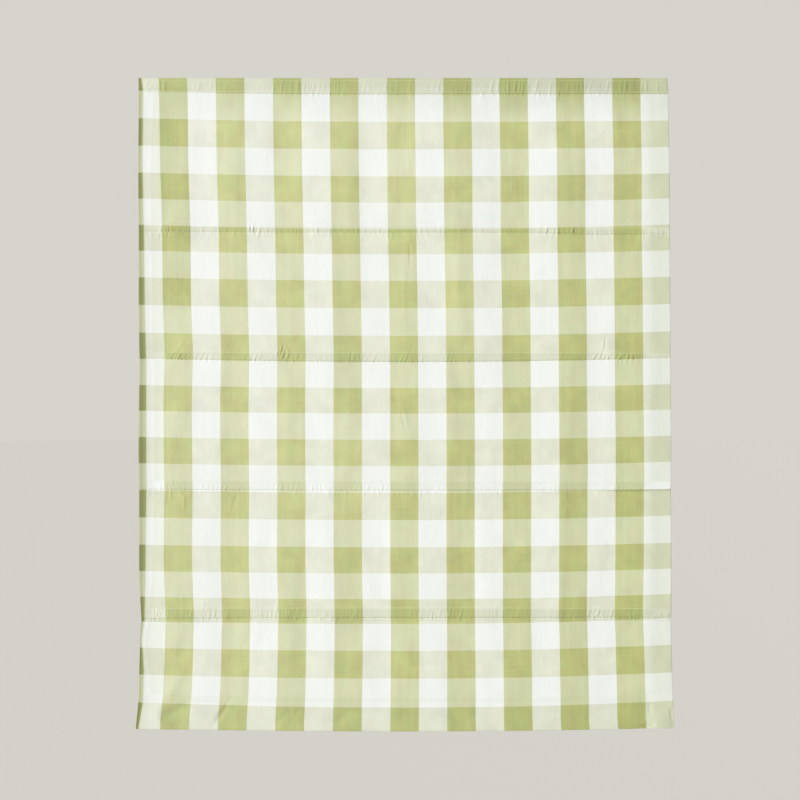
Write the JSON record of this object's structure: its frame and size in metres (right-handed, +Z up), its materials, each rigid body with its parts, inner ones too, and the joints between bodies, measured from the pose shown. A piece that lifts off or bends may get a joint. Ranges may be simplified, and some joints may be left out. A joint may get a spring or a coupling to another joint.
{
  "type": "roman blind",
  "caption": "Flat roman blind of green and white check cloth at full drop, with hemmed edges, a stitched heading and rod casings on the back.",
  "frame": {"origin": "middle of the top edge of the heading, halfway through its thickness; the blind hangs below it", "axes": "+Z up, +X to the right as seen from the room, -Y out of the front face, +Y towards the window"},
  "size_m": [0.9201, 0.0162, 1.1183],
  "materials": {
    "check_cloth": "matt plain weave in a white and green check",
    "casing_cloth": "matt plain weave, the same check"
  },
  "bodies": {
    "root": {"face_cloth": "check_cloth", "rod_casing_1": "casing_cloth", "rod_casing_2": "casing_cloth", "rod_casing_3": "casing_cloth", "rod_casing_4": "casing_cloth"}
  },
  "joints": []
}
